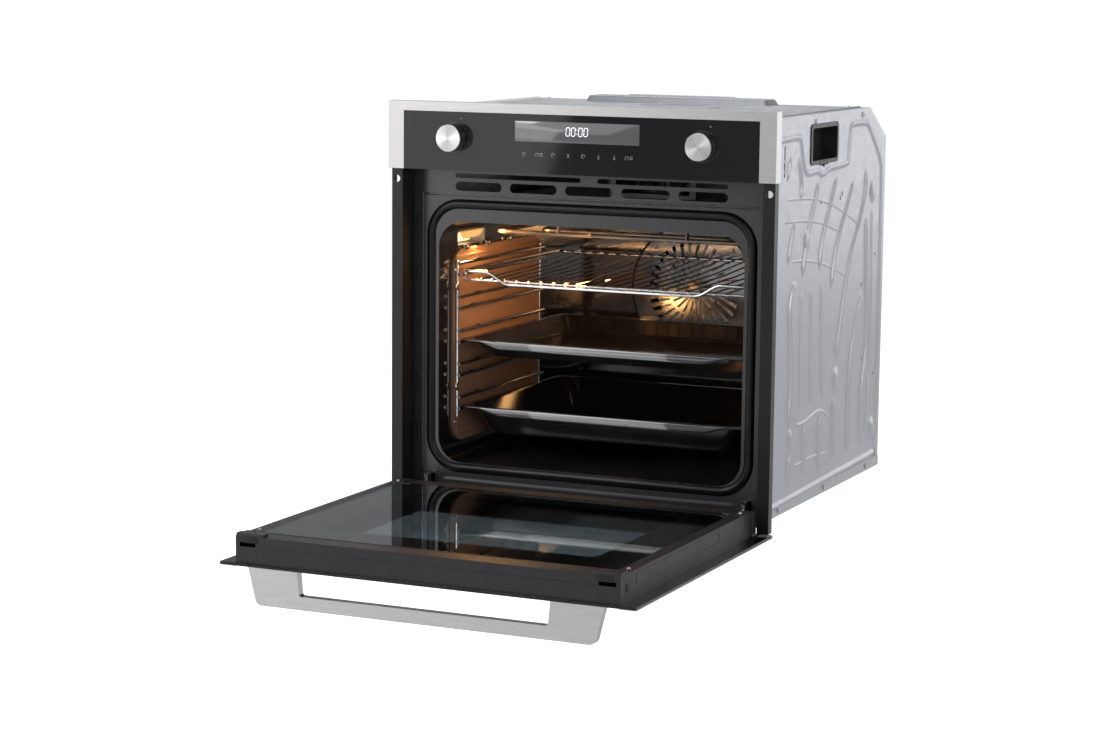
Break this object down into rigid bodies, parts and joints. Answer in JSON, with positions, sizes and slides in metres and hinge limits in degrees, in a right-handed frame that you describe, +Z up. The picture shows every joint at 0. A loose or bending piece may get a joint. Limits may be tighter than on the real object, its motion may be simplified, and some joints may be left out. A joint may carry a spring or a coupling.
{
  "type": "wall oven",
  "caption": "Built-in electric wall oven with a drop-down glass door, control panel with rotary selectors and touch display, enamelled cavity, side racks, wire shelf and trays.",
  "frame": {"origin": "centre of the flat base face that stands on the niche shelf", "axes": "+X to the user's right, the front faces -Y, +Z up; at rest the door is fully open and the shelf and trays are fully in"},
  "size_m": [0.595, 1.0215, 0.642],
  "materials": {
    "brushed_stainless": "brushed satin",
    "knob_steel": "spun satin",
    "knob_black": "satin",
    "panel_black_glass": "glossy, back painted",
    "door_glass": "glossy, dark border print",
    "clear_glass": "clear",
    "lamp_glass": "ribbed, heat resistant",
    "galvanised_steel": "galvanised, unpainted",
    "charcoal_enamel": "satin enamel",
    "black_steel": "semi-gloss black",
    "cavity_enamel": "glossy enamel",
    "tray_enamel": "glossy enamel",
    "liner_enamel": "matt catalytic enamel",
    "chrome_wire": "bright",
    "element_steel": "heat-tinted sheath",
    "seal_rubber": "matt black",
    "wool": "mineral wool",
    "door_plastic": "fine-grained charcoal",
    "door_inner_steel": "satin black",
    "black_plastic": "moulded",
    "board_green": "solder mask",
    "motor_steel": "laminated core",
    "rotor_sheet": "pressed sheet",
    "hinge_steel": "zinc plated"
  },
  "bodies": {
    "chassis": {"panel_trim": "brushed_stainless", "knob_bezel_left": "knob_black", "knob_bezel_right": "knob_black", "panel_glass": "panel_black_glass", "lamp_lens": "lamp_glass", "lamp_bulb": "lamp_glass", "side_panel_left": "galvanised_steel", "side_panel_right": "galvanised_steel", "top_cover": "galvanised_steel", "back_panel": "galvanised_steel", "base_pan": "galvanised_steel", "blower_housing": "galvanised_steel", "lamp_housing": "galvanised_steel", "front_frame": "charcoal_enamel", "front_post_left": "black_steel", "front_post_right": "black_steel", "cavity": "cavity_enamel", "fan_cover": "cavity_enamel", "liner_left": "liner_enamel", "liner_right": "liner_enamel", "rack_left": "chrome_wire", "rack_right": "chrome_wire", "ring_heater": "element_steel", "grill_element": "element_steel", "base_element": "element_steel", "door_seal": "seal_rubber", "insulation": "wool", "panel_carrier": "black_plastic", "carry_grip_left": "black_plastic", "carry_grip_right": "black_plastic", "terminal_box": "black_plastic", "control_board": "board_green", "fan_motor": "motor_steel", "blower_motor": "motor_steel", "hinge_arm_left": "hinge_steel", "hinge_arm_right": "hinge_steel", "chassis_screws": "hinge_steel"},
    "door": {"door_outer_glass": "door_glass", "door_middle_glass": "clear_glass", "door_inner_glass": "door_glass", "door_top_rail": "door_plastic", "door_side_rail_left": "door_plastic", "door_side_rail_right": "door_plastic", "door_bottom_rail": "door_inner_steel", "door_strips": "brushed_stainless", "handle": "brushed_stainless", "hinge_case_left": "hinge_steel", "hinge_case_right": "hinge_steel", "hinge_springs": "hinge_steel"},
    "left_knob": {"knob_left": "knob_black", "knob_left_cap": "knob_steel"},
    "right_knob": {"knob_right": "knob_black", "knob_right_cap": "knob_steel"},
    "hot_air_fan": {"fan_blade": "rotor_sheet"},
    "cooling_rotor": {"blower_rotor": "rotor_sheet"},
    "shelf": {"wire_shelf": "chrome_wire"},
    "upper_tray": {"tray_upper": "tray_enamel"},
    "lower_tray": {"tray_lower": "tray_enamel"},
    "left_lock": {"hinge_lock_left": "hinge_steel"},
    "right_lock": {"hinge_lock_right": "hinge_steel"}
  },
  "joints": [
    {"name": "door_hinge", "type": "hinge", "parent": "chassis", "child": "door", "pos_m": [0, -0.276, -0.01], "axis": [-1, 0, 0], "range_deg": [0, 90], "stiffness_Nm_per_rad": 8, "springref_deg": 90},
    {"name": "knob_left_turn", "type": "hinge", "parent": "chassis", "child": "left_knob", "pos_m": [-0.191, -0.284, 0.5235], "axis": [0, 1, 0], "continuous": true},
    {"name": "knob_right_turn", "type": "hinge", "parent": "chassis", "child": "right_knob", "pos_m": [0.191, -0.284, 0.5235], "axis": [0, 1, 0], "continuous": true},
    {"name": "hot_air_fan_spin", "type": "hinge", "parent": "chassis", "child": "hot_air_fan", "pos_m": [0, 0.216, 0.2685], "axis": [0, 1, 0], "continuous": true},
    {"name": "cooling_rotor_spin", "type": "hinge", "parent": "chassis", "child": "cooling_rotor", "pos_m": [0, 0.068, 0.45], "axis": [0, 0, 1], "continuous": true},
    {"name": "wire_shelf_slide", "type": "slide", "parent": "chassis", "child": "shelf", "axis": [0, 1, 0], "range_m": [-0.22, 0]},
    {"name": "upper_tray_slide", "type": "slide", "parent": "chassis", "child": "upper_tray", "axis": [0, 1, 0], "range_m": [-0.22, 0]},
    {"name": "lower_tray_slide", "type": "slide", "parent": "chassis", "child": "lower_tray", "axis": [0, 1, 0], "range_m": [-0.22, 0]},
    {"name": "left_lock_flip", "type": "hinge", "parent": "chassis", "child": "left_lock", "pos_m": [-0.249, -0.253, 0.01], "axis": [-1, 0, 0], "range_deg": [-100, 0]},
    {"name": "right_lock_flip", "type": "hinge", "parent": "chassis", "child": "right_lock", "pos_m": [0.249, -0.253, 0.01], "axis": [-1, 0, 0], "range_deg": [-100, 0]}
  ]
}
